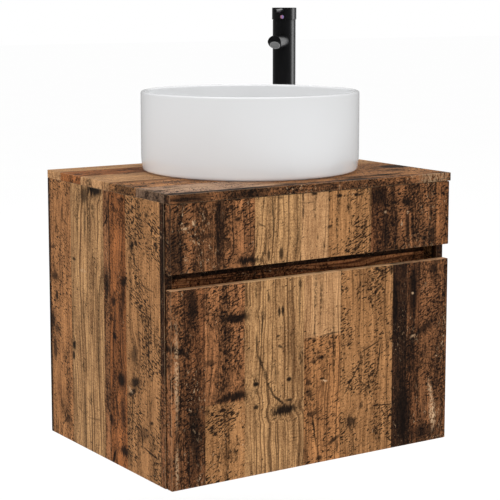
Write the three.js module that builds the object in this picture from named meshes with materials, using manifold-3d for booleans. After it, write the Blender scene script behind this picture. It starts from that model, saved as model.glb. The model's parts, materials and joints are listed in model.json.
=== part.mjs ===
// Wall-hung vanity with a round vessel basin and a tall single-lever mixer tap.
// Millimetres. +X right, +Y towards the wall, +Z up. Origin at the bottom centre of the bounding box.
import * as THREE from "three";
import { mergeVertices } from "three/addons/utils/BufferGeometryUtils.js";
import Module from "manifold-3d";

const wasm = await Module();
wasm.setup();

// ---- driving dimensions: cabinet ----
const WIDTH = 600;
const DEPTH = 450;
const TOP_HEIGHT = 502; // top face of the countertop
const BOARD = 15; // carcass and countertop board
const TOP_OVERHANG = 2; // countertop beyond the face of the fronts
const FRONT_STAND = 18; // from the carcass edge to the face of the fronts
const BUMPER_GAP = 1.5; // air between the fronts and the carcass edge
const FRONT_INSET = 2; // fronts are this much narrower than the carcass on each side
const GAP_BOTTOM = 342; // top edge of the drawer front
const GAP_TOP = 369; // lower edge of the fixed upper front
const FIT = 0.2; // air left between boards that butt together
const FINGER_DEPTH = 36; // from the carcass edge back to the groove rail
const GROOVE_RAIL = [300, 420]; // lower and upper edge of the board behind the finger groove
const UPPER_RAIL = [366, 434]; // lower and upper edge of the rail below the wall hangers
const LOWER_RAIL_TOP = 95;
const STRETCHER_DEPTH = 80;
const BRACKET = [395, 445]; // lower and upper edge of the angle brackets of the upper front
const HANGER_Z = 463; // middle of the wall hangers

const Y_FACE = -DEPTH / 2 + TOP_OVERHANG;
const Y_CARCASS = Y_FACE + FRONT_STAND;
const Y_WALL = DEPTH / 2;
const Z_UNDER_TOP = TOP_HEIGHT - BOARD;
const X_INNER = WIDTH / 2 - BOARD;

// ---- driving dimensions: drawer ----
const DRAWER_BOARD = 12;
const DRAWER_FLOOR = 34; // height of the drawer's lower edge
const DRAWER_HEIGHT = 196;
const DRAWER_DEPTH = 368;
const DRAWER_BASE = 6;
const BASE_RISE = 8; // drawer base above the lower edge of the drawer sides
const BUMPER_R = 5;
const SLIDE_SPACE = 13; // between the cabinet side and the drawer side
const SLIDE_Z = 120;
const SLIDE_LENGTH = 360;
const SLIDE_SHEET = 1.2;
// Each member of a slide: its name, its web and flange edge as distances from the side panel,
// half its height, and how much shorter it is than the slide.
const SLIDE_MEMBERS = [
  ["outer", 0.2, 10.4, 22.5, 0],
  ["middle", 2.2, 9.8, 19.5, 6],
  ["inner", 12.8, 4.4, 15.5, 2],
];

// ---- driving dimensions: basin and waste ----
const BASIN_X = 18;
const BASIN_Y = 19;
const BASIN_R = 203;
const BASIN_HEIGHT = 148;
const BASIN_WALL = 9;
const BASIN_FLOOR = 14; // thickness of the floor beside the waste
const WASTE_R = 20; // threaded tube of the waste
const SEAL_R = 31;
const NUT_CORNERS = 68; // locknut of the waste, across its corners
const TUBE_LENGTH = 82; // waste tube below the countertop's upper face
const TRAP_R = 30;
const TRAP_WALL = 2.5;
const TRAP_BOTTOM = 262;
const TRAP_SHOULDER = 376; // where the body starts to narrow
const TRAP_TOP = 390;
const CUP_TOP = 306;
const DIP_BOTTOM = 300; // open end of the dip tube, below the outlet
const INLET_NUT = [414, 432];
const OUTLET_Z = 330;
const OUTLET_R = 16;

// ---- driving dimensions: tap ----
const TAP_X = 209.5;
const TAP_Y = 185;
const TAP_TURN = 225; // degrees, from +X to the way the spout points
const TAP_HEIGHT = 298;
const TAP_R = 23;
const COLLAR_R = 22.3; // collar of the tap's body, inside the cap
const COLLAR_RISE = 3;
const CAP_R = 24.4;
const CAP_HEIGHT = 23.5;
const SPOUT_Z = 232; // spout axis above the countertop
const SPOUT_R = 13.2;
const SPOUT_REACH = 107;
const AERATOR_R = 10;
const LEVER_LENGTH = 97; // from the tap's axis to the end of the pin
const LEVER_DROP = 5.5; // pin axis below the top of the cap
const TILT_DROP = 4.5; // lift axis below the rim of the cap
const INDICATOR_RISE = 5.6; // middle of the indicator above the rim of the cap
const TAP_HOLE = 14; // radius of the hole in the countertop
const WATERWAY_R = 8;
const SHANK = [8.5, 11.5, -62, 24]; // bore, radius, lower and upper end
const FIXING_R = 22; // seal and washer under the countertop
const INLET = [2.5, 3.7, -84, 30]; // bore, radius, lower and upper end
const INLET_OFFSET = 4.2;

const ROUND = 40; // facets of the large visible round pieces
const SMALL = 16; // facets of the small and hidden round pieces

// ---- materials ----
const MATERIALS = {
  wood_countertop: [0x8a5c34, 0.6, 0],
  wood_panel: [0x9a6a40, 0.62, 0],
  wood_front: [0xa57850, 0.62, 0],
  board_inner: [0x6f4c30, 0.7, 0],
  drawer_board: [0xd9d6d0, 0.55, 0],
  zinc: [0xb4b7ba, 0.35, 0.9],
  ceramic: [0xf0f0ee, 0.12, 0],
  chrome: [0xd0d2d4, 0.12, 1],
  tap_black: [0x17171a, 0.38, 0.3],
  brass: [0xb08d4f, 0.35, 0.9],
  rubber: [0x202020, 0.85, 0],
  trap_plastic: [0xe6e6e3, 0.45, 0],
  cartridge_plastic: [0xc8c8c4, 0.5, 0],
  aerator_grey: [0x8c8c90, 0.4, 0.2],
  indicator: [0xc9a3bd, 0.4, 0],
};

function materialOf(key) {
  const [color, roughness, metalness] = MATERIALS[key];
  return new THREE.MeshStandardMaterial({ name: key, color, roughness, metalness });
}

// ---- helpers ----
const vanity = new THREE.Group();
vanity.name = "vanity";

function add(name, geometry, key, parent = vanity) {
  const mesh = new THREE.Mesh(geometry, materialOf(key));
  mesh.name = name;
  parent.add(mesh);
  return mesh;
}

// A board between two opposite corners.
function board(name, low, high, key, parent = vanity) {
  const size = high.map((value, axis) => value - low[axis]);
  const mesh = add(name, new THREE.BoxGeometry(...size), key, parent);
  mesh.position.set(...low.map((value, axis) => value + size[axis] / 2));
  return mesh;
}

// A solid of revolution about +Z, from [radius, height] points listed so that its surface faces out.
function lathe(profile, facets) {
  const points = profile.map(([radius, height]) => new THREE.Vector2(radius, height));
  return new THREE.LatheGeometry(points, facets).rotateX(Math.PI / 2);
}

// A ring of rectangular section about +Z.
function ring(inner, outer, low, high, facets = SMALL) {
  return lathe([[inner, low], [outer, low], [outer, high], [inner, high], [inner, low]], facets);
}

function rod(radius, low, high, facets = SMALL) {
  return lathe([[0, low], [radius, low], [radius, high], [0, high]], facets);
}

// Points of a circular arc in a profile, from one angle to another in degrees.
function arc(centreR, centreZ, radius, from, to, steps) {
  return Array.from({ length: steps + 1 }, (_, i) => {
    const angle = THREE.MathUtils.degToRad(from + ((to - from) * i) / steps);
    return [centreR + radius * Math.cos(angle), centreZ + radius * Math.sin(angle)];
  });
}

function circleHole(x, y, radius) {
  return new THREE.Path().absarc(x, y, radius, 0, 2 * Math.PI, true);
}

// A flat outline raised along +Z.
function slab(shape, low, high, facets = 8) {
  const settings = { depth: high - low, bevelEnabled: false, curveSegments: facets };
  return new THREE.ExtrudeGeometry(shape, settings).translate(0, 0, low);
}

function hexNut(acrossCorners, bore, low, high) {
  const outline = Array.from({ length: 6 }, (_, i) => {
    const angle = (i * Math.PI) / 3;
    return new THREE.Vector2(Math.cos(angle), Math.sin(angle)).multiplyScalar(acrossCorners / 2);
  });
  const shape = new THREE.Shape(outline);
  shape.holes.push(circleHole(0, 0, bore));
  return slab(shape, low, high, SMALL / 2);
}

function solid(geometry) {
  const bare = geometry.clone();
  bare.deleteAttribute("normal");
  bare.deleteAttribute("uv");
  const merged = mergeVertices(bare, 1e-3);
  const vertProperties = merged.attributes.position.array;
  const triVerts = new Uint32Array(merged.index.array);
  return new wasm.Manifold(new wasm.Mesh({ numProp: 3, vertProperties, triVerts }));
}

function geometryOf(manifold) {
  const mesh = manifold.getMesh();
  const geometry = new THREE.BufferGeometry();
  geometry.setAttribute("position", new THREE.BufferAttribute(mesh.vertProperties, 3));
  geometry.setIndex(new THREE.BufferAttribute(mesh.triVerts, 1));
  return geometry;
}

function cut(base, ...tools) {
  return geometryOf(tools.reduce((left, tool) => left.subtract(solid(tool)), solid(base)));
}

function join(...pieces) {
  return geometryOf(pieces.map(solid).reduce((left, piece) => left.add(piece)));
}

// Turns a solid made about +Z so that it lies along +X.
function along(geometry) {
  return geometry.rotateY(Math.PI / 2);
}

// ---- cabinet ----
function countertop() {
  const x = WIDTH / 2;
  const y = DEPTH / 2;
  const corners = [[-x, -y], [x, -y], [x, y], [-x, y]];
  const shape = new THREE.Shape(corners.map(([cx, cy]) => new THREE.Vector2(cx, cy)));
  shape.holes.push(circleHole(BASIN_X, BASIN_Y, WASTE_R + 3));
  shape.holes.push(circleHole(TAP_X, TAP_Y, TAP_HOLE));
  add("countertop", slab(shape, Z_UNDER_TOP, TOP_HEIGHT, 12), "wood_countertop");
}

function carcass() {
  const z = Z_UNDER_TOP - FIT;
  const x = X_INNER - FIT;
  for (const [side, name] of [[-1, "left"], [1, "right"]]) {
    const edges = [side * X_INNER, (side * WIDTH) / 2].sort((a, b) => a - b);
    board(`${name}_side_panel`, [edges[0], Y_CARCASS, 0], [edges[1], Y_WALL, z], "wood_panel");
  }
  board("bottom_panel", [-x, Y_CARCASS, 0], [x, Y_WALL, BOARD], "board_inner");
  const back = Y_WALL - BOARD;
  board("upper_back_rail", [-x, back, UPPER_RAIL[0]], [x, Y_WALL, UPPER_RAIL[1]], "board_inner");
  board("lower_back_rail", [-x, back, BOARD + FIT], [x, Y_WALL, LOWER_RAIL_TOP], "board_inner");
  board("front_stretcher", [-x, Y_CARCASS, z - BOARD], [x, Y_CARCASS + STRETCHER_DEPTH, z], "board_inner");
  const rail = Y_CARCASS + FINGER_DEPTH;
  board("groove_rail", [-x, rail, GROOVE_RAIL[0]], [x, rail + BOARD, GROOVE_RAIL[1]], "board_inner");
}

const FRONT_X = WIDTH / 2 - FRONT_INSET;
const FRONT_BACK = Y_CARCASS - BUMPER_GAP;

function upperFront() {
  const top = Z_UNDER_TOP - 1;
  board("upper_front_panel", [-FRONT_X, Y_FACE, GAP_TOP], [FRONT_X, FRONT_BACK, top], "wood_front");
}

// Angle brackets that hold the upper front to the cabinet sides.
function frontBracket(side, name) {
  const leg = 28;
  const sheet = 2;
  const wall = X_INNER - FIT;
  const front = FRONT_BACK + FIT;
  const outline = [
    [wall, front],
    [wall, front + leg + BUMPER_GAP],
    [wall - sheet, front + leg + BUMPER_GAP],
    [wall - sheet, front + sheet],
    [wall - leg, front + sheet],
    [wall - leg, front],
  ];
  const points = outline.map(([x, y]) => new THREE.Vector2(side * x, y));
  if (side < 0) points.reverse();
  add(name, slab(new THREE.Shape(points), ...BRACKET), "zinc");
}

// Cabinet hanger in the top rear corner: a housing on the side panel and a hook that reaches the wall.
function hanger(side, name) {
  const width = 16;
  const sheet = 4;
  const x = side * (X_INNER - FIT - width / 2);
  const housing = new THREE.BoxGeometry(width, 56, 38).translate(x, Y_WALL - BOARD - 30, HANGER_Z);
  const hook = new THREE.BoxGeometry(sheet, 24, 12).translate(x, Y_WALL - 12, HANGER_Z + 5);
  const lip = new THREE.BoxGeometry(sheet, sheet, 14).translate(x, Y_WALL - sheet / 2, HANGER_Z - 3);
  add(name, join(housing, hook, lip), "zinc");
}

// ---- drawer ----
const DRAWER_X = X_INNER - SLIDE_SPACE;
const DRAWER_TOP = DRAWER_FLOOR + DRAWER_HEIGHT;
const DRAWER_Y = FRONT_BACK + FIT;
const DRAWER_END = DRAWER_Y + DRAWER_DEPTH;

function drawer() {
  board("drawer_front", [-FRONT_X, Y_FACE, 0], [FRONT_X, FRONT_BACK, GAP_BOTTOM], "wood_front");
  for (const [side, name] of [[-1, "left"], [1, "right"]]) {
    const edges = [side * (DRAWER_X - DRAWER_BOARD), side * DRAWER_X].sort((a, b) => a - b);
    const low = [edges[0], DRAWER_Y, DRAWER_FLOOR];
    board(`drawer_side_${name}`, low, [edges[1], DRAWER_END, DRAWER_TOP], "drawer_board");
    bumper(side, name);
  }
  const x = DRAWER_X - DRAWER_BOARD - FIT;
  const front = DRAWER_Y + DRAWER_BOARD;
  const back = DRAWER_END - DRAWER_BOARD;
  const base = DRAWER_FLOOR + BASE_RISE;
  board("drawer_inner_front", [-x, DRAWER_Y, DRAWER_FLOOR], [x, front, DRAWER_TOP], "drawer_board");
  board("drawer_back", [-x, back, DRAWER_FLOOR], [x, DRAWER_END, DRAWER_TOP], "drawer_board");
  board("drawer_bottom", [-x, front + FIT, base], [x, back - FIT, base + DRAWER_BASE], "drawer_board");
}

// Soft pad on the back of the drawer front, where it meets the cabinet side.
function bumper(side, name) {
  const height = BUMPER_GAP - 0.4;
  const pad = lathe([[0, 0], [BUMPER_R, 0], [BUMPER_R - 0.6, height], [0, height]], SMALL / 2);
  pad.rotateX(-Math.PI / 2);
  pad.translate(side * (WIDTH / 2 - BOARD / 2), FRONT_BACK + 0.1, GAP_BOTTOM - 30);
  add(`drawer_bumper_${name}`, pad, "rubber");
}

// One member of a telescopic slide: a channel with its web at one distance from the cabinet side
// and its flanges reaching to another, both measured from the side panel's inner face.
function slideMember(name, side, web, flange, halfHeight, length) {
  const sheet = SLIDE_SHEET;
  const inward = Math.sign(flange - web);
  const outline = [
    [web, -halfHeight],
    [flange, -halfHeight],
    [flange, -halfHeight + sheet],
    [web + inward * sheet, -halfHeight + sheet],
    [web + inward * sheet, halfHeight - sheet],
    [flange, halfHeight - sheet],
    [flange, halfHeight],
    [web, halfHeight],
  ];
  const points = outline.map(([t, z]) => new THREE.Vector2(side * (X_INNER - t), z));
  if (side * inward > 0) points.reverse();
  const channel = new THREE.ExtrudeGeometry(new THREE.Shape(points), { depth: length, bevelEnabled: false });
  channel.rotateX(Math.PI / 2);
  channel.translate(0, Y_CARCASS + 2 + length, SLIDE_Z);
  add(name, channel, "zinc");
}

function slides() {
  for (const [side, name] of [[-1, "left"], [1, "right"]]) {
    for (const [member, web, flange, halfHeight, shorter] of SLIDE_MEMBERS) {
      slideMember(`slide_${member}_${name}`, side, web, flange, halfHeight, SLIDE_LENGTH - shorter);
    }
  }
}

// ---- basin and waste ----
const basinSite = new THREE.Group();
basinSite.position.set(BASIN_X, BASIN_Y, TOP_HEIGHT);
vanity.add(basinSite);

function basin() {
  const low = FIT;
  const rim = BASIN_WALL / 2;
  const inner = BASIN_R - BASIN_WALL;
  const profile = [
    [WASTE_R + 3, low],
    [BASIN_R - 9, low],
    ...arc(BASIN_R - 9, low + 8, 8, -60, 0, 2),
    [BASIN_R, 30],
    ...arc(BASIN_R - rim, BASIN_HEIGHT - rim, rim, 0, 180, 6),
    ...arc(inner - 40, BASIN_FLOOR + 44, 38, 0, -90, 5),
    [36, BASIN_FLOOR],
    [33, BASIN_FLOOR - 4],
    [WASTE_R + 3, BASIN_FLOOR - 4],
    [WASTE_R + 3, low],
  ];
  add("basin", lathe(profile, ROUND), "ceramic", basinSite);
}

// Waste: flange in the basin floor, threaded tube, seals, locknut and the pop-up plug.
function waste() {
  const seat = BASIN_FLOOR - 4;
  const bore = WASTE_R - 3;
  const flange = [
    [bore, -TUBE_LENGTH],
    [WASTE_R, -TUBE_LENGTH],
    [WASTE_R, seat + 1.4],
    [SEAL_R, seat + 1.4],
    [SEAL_R + 1, seat + 3],
    [SEAL_R - 0.5, seat + 3.6],
    [bore + 2, seat + 2.6],
    [bore, seat + 1],
    [bore, -TUBE_LENGTH],
  ];
  add("waste_flange", lathe(flange, SMALL + 8), "chrome", basinSite);
  add("waste_seal_upper", ring(WASTE_R + 0.6, SEAL_R, seat + FIT, seat + 1.2), "rubber", basinSite);
  const under = -BOARD - FIT;
  add("waste_seal_lower", ring(WASTE_R + 0.4, SEAL_R, under - 3, under), "rubber", basinSite);
  add("waste_locknut", hexNut(NUT_CORNERS, WASTE_R + 0.4, under - 13, under - 3.2), "chrome", basinSite);
  const stem = 4;
  const plug = [
    [0, -14],
    [stem, -14],
    [stem, seat + 3],
    [11, seat + 3],
    [11, seat + 4.2],
    [SEAL_R - 2, seat + 4.2],
    [SEAL_R, seat + 5.4],
    [27, seat + 7.2],
    [14, seat + 8.6],
    [0, seat + 9],
  ];
  add("waste_plug", lathe(plug, SMALL + 8), "chrome", basinSite);
  // Spider inside the tube that guides the plug's stem.
  const guide = stem + 0.3;
  const hub = ring(guide, 7, -6, 0);
  const spokes = new THREE.BoxGeometry(2 * (bore - FIT), 2, 4).translate(0, 0, -3);
  const spider = cut(join(hub, spokes), rod(guide, -10, 4));
  add("waste_spider", spider, "brass", basinSite);
}

// Bottle trap below the waste, with its outlet to the wall.
function trap() {
  const z = (height) => height - TOP_HEIGHT;
  add("trap_inlet_nut", hexNut(58, WASTE_R + 0.4, ...INLET_NUT.map(z)), "trap_plastic", basinSite);
  const dipR = 15;
  const dipTop = z(INLET_NUT[0] - 0.4);
  const dip = [
    [dipR - 2, z(DIP_BOTTOM)],
    [dipR, z(DIP_BOTTOM)],
    [dipR, dipTop - 2.6],
    [22, dipTop - 2.6],
    [22, dipTop],
    [dipR - 2, dipTop],
    [dipR - 2, z(DIP_BOTTOM)],
  ];
  add("trap_dip_tube", lathe(dip, SMALL), "trap_plastic", basinSite);
  const inner = TRAP_R - TRAP_WALL;
  const shell = [
    [inner, z(TRAP_BOTTOM + 34)],
    [TRAP_R, z(TRAP_BOTTOM + 34)],
    [TRAP_R, z(TRAP_SHOULDER)],
    [24, z(TRAP_TOP - 2)],
    [20, z(TRAP_TOP)],
    [dipR + 0.4, z(TRAP_TOP)],
    [dipR + 0.4, z(TRAP_TOP - 6)],
    [inner, z(TRAP_SHOULDER - 2)],
    [inner, z(TRAP_BOTTOM + 34)],
  ];
  const toWall = (geometry) => geometry.rotateX(-Math.PI / 2).translate(0, 0, z(OUTLET_Z));
  const outletHole = toWall(rod(OUTLET_R - 2, 0, 60));
  const branch = toWall(ring(OUTLET_R - 2, OUTLET_R + 2.5, TRAP_R - 4, TRAP_R + 24));
  const core = rod(inner, z(TRAP_BOTTOM + 30), z(TRAP_SHOULDER - 2));
  const body = solid(lathe(shell, SMALL)).add(solid(branch).subtract(solid(core)));
  add("trap_body", geometryOf(body.subtract(solid(outletHole))), "trap_plastic", basinSite);
  const cup = [
    [0, z(TRAP_BOTTOM)],
    [24, z(TRAP_BOTTOM)],
    [31, z(TRAP_BOTTOM + 6)],
    [33.5, z(TRAP_BOTTOM + 14)],
    [33.5, z(CUP_TOP)],
    [TRAP_R + 0.4, z(CUP_TOP)],
    [TRAP_R + 0.4, z(TRAP_BOTTOM + 33.6)],
    [TRAP_R - 3, z(TRAP_BOTTOM + 33.6)],
    [TRAP_R - 4, z(TRAP_BOTTOM + 12)],
    [20, z(TRAP_BOTTOM + 4)],
    [0, z(TRAP_BOTTOM + 4)],
  ];
  add("trap_cup", lathe(cup, SMALL), "trap_plastic", basinSite);
  const reach = Y_WALL - BASIN_Y;
  add("trap_outlet_nut", toWall(hexNut(48, OUTLET_R + 2.9, 40, 53)), "trap_plastic", basinSite);
  add("trap_outlet_pipe", toWall(ring(OUTLET_R - 2, OUTLET_R, 54.4, reach)), "trap_plastic", basinSite);
  const rosette = [
    [OUTLET_R + 0.4, reach - 9],
    [OUTLET_R + 3, reach - 9],
    [27, reach - 5],
    [32, reach],
    [29, reach],
    [25, reach - 3],
    [OUTLET_R + 0.4, reach - 6],
    [OUTLET_R + 0.4, reach - 9],
  ];
  add("wall_rosette", toWall(lathe(rosette, SMALL)), "chrome", basinSite);
}

// ---- tap ----
// The tap is built with its spout along +X, its axis on Z and the countertop at zero, then turned.
const tapSite = new THREE.Group();
tapSite.position.set(TAP_X, TAP_Y, TOP_HEIGHT);
tapSite.rotation.z = THREE.MathUtils.degToRad(TAP_TURN);
vanity.add(tapSite);

const BODY_TOP = TAP_HEIGHT - CAP_HEIGHT - 1;
const BASE_TOP = 4;
const CARTRIDGE_SEAT = 246;

function tapBody() {
  const outline = [
    [12, BASE_TOP + FIT],
    [TAP_R, BASE_TOP + FIT],
    [TAP_R, BODY_TOP],
    [COLLAR_R, BODY_TOP],
    [COLLAR_R, BODY_TOP + COLLAR_RISE],
    [17, BODY_TOP + COLLAR_RISE],
    [17, CARTRIDGE_SEAT],
    [12, CARTRIDGE_SEAT - 4],
    [12, BASE_TOP + FIT],
  ];
  const waterway = along(rod(WATERWAY_R, 6, TAP_R + 4)).translate(0, 0, SPOUT_Z);
  add("tap_body", cut(lathe(outline, ROUND - 8), waterway), "tap_black", tapSite);
  const bore = 12.5;
  const sealTop = FIT + 1.3;
  const base = [
    [bore, sealTop + FIT],
    [26, sealTop + FIT],
    [26, 2.8],
    [24.6, BASE_TOP],
    [bore, BASE_TOP],
    [bore, sealTop + FIT],
  ];
  add("tap_base_ring", lathe(base, ROUND - 8), "tap_black", tapSite);
  add("tap_base_seal", ring(bore, 24.5, FIT, sealTop), "rubber", tapSite);
}

function tapSpout() {
  const chamferTop = 2; // the slanted face starts this far above the spout's axis
  const slope = chamferTop + SPOUT_R;
  const tube = along(rod(SPOUT_R, 0, SPOUT_REACH, 36));
  const bodySpace = rod(TAP_R + 0.3, -30, 30, ROUND - 8);
  const waterway = along(rod(WATERWAY_R, 0, SPOUT_REACH - 14));
  const wedge = new THREE.BoxGeometry(60, 60, 30).translate(0, 0, -15);
  wedge.rotateY(-Math.PI / 4).translate(SPOUT_REACH, 0, chamferTop);
  const mouth = [SPOUT_REACH - slope / 2, 0, chamferTop - slope / 2];
  const faceAerator = (geometry) => geometry.rotateY((3 * Math.PI) / 4).translate(...mouth);
  const recess = faceAerator(rod(AERATOR_R + 0.3, -9, 4));
  const spout = cut(tube, bodySpace, waterway, wedge, recess).translate(0, 0, SPOUT_Z);
  add("tap_spout", spout, "tap_black", tapSite);
  const shell = [
    [0, -7],
    [AERATOR_R - 1.5, -7],
    [AERATOR_R, -6.4],
    [AERATOR_R, 0.5],
    [AERATOR_R - 0.8, 0.9],
    [AERATOR_R - 1.6, 0.9],
    [AERATOR_R - 1.6, -0.6],
    [0, -0.6],
  ];
  const aerator = faceAerator(lathe(shell, SMALL)).translate(0, 0, SPOUT_Z);
  add("tap_aerator", aerator, "aerator_grey", tapSite);
}

// Ceramic-disc cartridge in the top of the body, held by its nut.
function tapCartridge() {
  const pivot = TAP_HEIGHT - CAP_HEIGHT - TILT_DROP;
  const radius = 15.5;
  const rotorR = 10.5;
  const shell = [
    [0, CARTRIDGE_SEAT + FIT],
    [radius, CARTRIDGE_SEAT + FIT],
    [radius, BODY_TOP - 2],
    [rotorR + 0.5, BODY_TOP - 2],
    [rotorR + 0.5, pivot - 8],
    [0, pivot - 8],
  ];
  add("tap_cartridge", lathe(shell, SMALL), "cartridge_plastic", tapSite);
  const nut = [
    [12, BODY_TOP - 1.6],
    [radius + 1.1, BODY_TOP - 1.6],
    [radius + 1.1, BODY_TOP + 2],
    [radius - 0.5, BODY_TOP + 3.6],
    [12, BODY_TOP + 3.6],
    [12, BODY_TOP - 1.6],
  ];
  add("tap_cartridge_nut", lathe(nut, SMALL), "tap_black", tapSite);
  add("tap_cartridge_rotor", rod(rotorR, pivot - 7.7, pivot - 3.4), "cartridge_plastic", tapSite);
}

// Handle: cap over the cartridge, pin lever, stem, grub screw and the hot and cold indicator.
function tapHandle() {
  const top = TAP_HEIGHT;
  const rim = top - CAP_HEIGHT;
  const skirt = CAP_R - 0.9;
  const pivot = rim - TILT_DROP;
  const leverZ = top - LEVER_DROP;
  const ceiling = top - 11;
  const stemR = 4;
  const screwR = 2;
  const cup = [
    [0, ceiling],
    [skirt - 2, ceiling],
    [skirt, ceiling - 3],
    [skirt, rim],
    [CAP_R - 0.4, rim],
    [CAP_R, rim + 1],
    [CAP_R, top - 0.8],
    [CAP_R - 0.8, top],
    [0, top],
  ];
  const stemHole = rod(stemR + 0.3, ceiling - 2, top - 3);
  const leverHole = along(rod(3.3, 11, 40)).translate(0, 0, leverZ);
  const dotZ = rim + INDICATOR_RISE;
  const screwHole = along(rod(screwR + 0.3, -40, -4.1)).translate(0, 0, leverZ);
  add("tap_handle_cap", cut(lathe(cup, ROUND - 8), stemHole, leverHole, screwHole), "tap_black", tapSite);
  const pin = [
    [0, 11.4],
    [3, 11.4],
    [3, CAP_R + 0.3],
    [4.2, CAP_R + 0.3],
    [3.2, LEVER_LENGTH - 0.6],
    [2.7, LEVER_LENGTH],
    [0, LEVER_LENGTH],
  ];
  add("tap_lever", along(lathe(pin, SMALL)).translate(0, 0, leverZ), "tap_black", tapSite);
  add("tap_stem", rod(stemR, pivot - 1, top - 3.3), "brass", tapSite);
  add("tap_grub_screw", along(rod(screwR, -CAP_R + 3, -4.4, 12)).translate(0, 0, leverZ), "zinc", tapSite);
  // The indicator is a thin button that stands on the cap's side, below the lever.
  const button = along(rod(3.6, CAP_R - 3, CAP_R + 0.5));
  const capSpace = rod(CAP_R + 0.1, -10, 10, ROUND - 8);
  add("tap_indicator", cut(button, capSpace).translate(0, 0, dotZ), "indicator", tapSite);
}

// Fixings below the countertop: threaded shank, seal, washer, nut and the two water inlets.
function tapFixing() {
  const under = -BOARD - FIT;
  const bore = SHANK[1] + 0.5;
  add("tap_shank", ring(...SHANK), "brass", tapSite);
  add("tap_under_seal", ring(bore, FIXING_R, under - 3, under), "rubber", tapSite);
  add("tap_washer", ring(bore, FIXING_R, under - 5, under - 3.2), "zinc", tapSite);
  add("tap_mounting_nut", hexNut(38, SHANK[1] + 0.4, under - 16, under - 5.2), "brass", tapSite);
  for (const [side, name] of [[-1, "hot"], [1, "cold"]]) {
    add(`tap_inlet_${name}`, ring(...INLET).translate(0, side * INLET_OFFSET, 0), "brass", tapSite);
  }
}

countertop();
carcass();
upperFront();
frontBracket(-1, "front_bracket_left");
frontBracket(1, "front_bracket_right");
hanger(-1, "hanger_left");
hanger(1, "hanger_right");
drawer();
slides();
basin();
waste();
trap();
tapBody();
tapSpout();
tapCartridge();
tapHandle();
tapFixing();

export default vanity;
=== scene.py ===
import json
import math

import bmesh
import bpy
from mathutils import Matrix, Vector


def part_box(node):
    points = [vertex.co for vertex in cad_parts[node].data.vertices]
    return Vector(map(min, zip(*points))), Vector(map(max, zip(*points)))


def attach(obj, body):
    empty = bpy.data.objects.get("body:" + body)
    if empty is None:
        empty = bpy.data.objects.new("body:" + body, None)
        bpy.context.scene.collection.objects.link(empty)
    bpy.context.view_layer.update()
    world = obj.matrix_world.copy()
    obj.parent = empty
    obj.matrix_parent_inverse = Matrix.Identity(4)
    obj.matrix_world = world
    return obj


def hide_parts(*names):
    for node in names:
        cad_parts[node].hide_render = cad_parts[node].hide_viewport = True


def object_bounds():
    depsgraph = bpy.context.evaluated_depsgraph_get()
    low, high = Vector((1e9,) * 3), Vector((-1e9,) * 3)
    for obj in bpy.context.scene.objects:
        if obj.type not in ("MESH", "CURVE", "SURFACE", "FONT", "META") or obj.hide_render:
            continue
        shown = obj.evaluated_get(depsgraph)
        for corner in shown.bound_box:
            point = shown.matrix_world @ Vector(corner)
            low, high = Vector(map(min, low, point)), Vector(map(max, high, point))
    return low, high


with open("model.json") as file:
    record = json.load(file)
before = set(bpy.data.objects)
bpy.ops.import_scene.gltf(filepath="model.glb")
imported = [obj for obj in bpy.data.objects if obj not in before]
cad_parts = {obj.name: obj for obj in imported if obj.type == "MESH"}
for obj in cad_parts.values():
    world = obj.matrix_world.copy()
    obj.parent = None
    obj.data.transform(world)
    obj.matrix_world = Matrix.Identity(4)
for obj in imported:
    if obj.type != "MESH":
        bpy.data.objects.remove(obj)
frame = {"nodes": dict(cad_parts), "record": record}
CAD_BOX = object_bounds()

MM = 0.001

# ---- places taken from the frame ----
COUNTER_LOW, COUNTER_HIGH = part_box("countertop")
BASIN_LOW, BASIN_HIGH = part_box("basin")
TAP_LOW, TAP_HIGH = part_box("tap_body")
SIDE_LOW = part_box("left_side_panel")[0]
RAIL_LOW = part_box("groove_rail")[0]
TRAP_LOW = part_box("trap_cup")[0]
OUTLET_LOW, OUTLET_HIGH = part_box("trap_outlet_pipe")

LEFT = SIDE_LOW.x
FRONT_OF_SIDE = SIDE_LOW.y
COUNTER = COUNTER_HIGH.z
BASIN_SITE = Vector(((BASIN_LOW.x + BASIN_HIGH.x) / 2, (BASIN_LOW.y + BASIN_HIGH.y) / 2, COUNTER))
TAP_SITE = Vector(((TAP_LOW.x + TAP_HIGH.x) / 2, (TAP_LOW.y + TAP_HIGH.y) / 2, COUNTER))
TAP_TURN = math.radians(225)  # from +X to the way the spout points
OUTLET_Z = (OUTLET_LOW.z + OUTLET_HIGH.z) / 2
WALL_Y = OUTLET_HIGH.y

# ---- sizes of the round pieces, in millimetres, as in the CAD model ----
BASIN_R = (BASIN_HIGH.x - BASIN_LOW.x) / 2 / MM
BASIN_HEIGHT = (BASIN_HIGH.z - COUNTER) / MM
BASIN_WALL = 9
BASIN_FLOOR = 14
WASTE_SEAT = BASIN_FLOOR - 4
WASTE_R = 20
TAP_R = 23
CAP_R = 24.4
UNDERSIDE = (COUNTER_LOW.z - COUNTER) / MM - 0.2  # just under the countertop, from its top
TAP_HEIGHT = (CAD_BOX[1].z - COUNTER) / MM
CAP_HEIGHT = 23.5
CAP_RIM = TAP_HEIGHT - CAP_HEIGHT
LEVER_Z = TAP_HEIGHT - 5.5
LEVER_LENGTH = 97
INDICATOR_RISE = 5.6
SPOUT_Z = 232
SPOUT_R = 13.2
SPOUT_REACH = 107
SPOUT_SLANT_TOP = 2  # the slanted face starts this far above the spout's axis
AERATOR_R = 10


def display(red, green, blue):
    """A linear RGBA colour from display values of 0 to 255."""
    def linear(value):
        share = value / 255
        return share / 12.92 if share <= 0.04045 else ((share + 0.055) / 1.055) ** 2.4
    return (linear(red), linear(green), linear(blue), 1.0)


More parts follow.
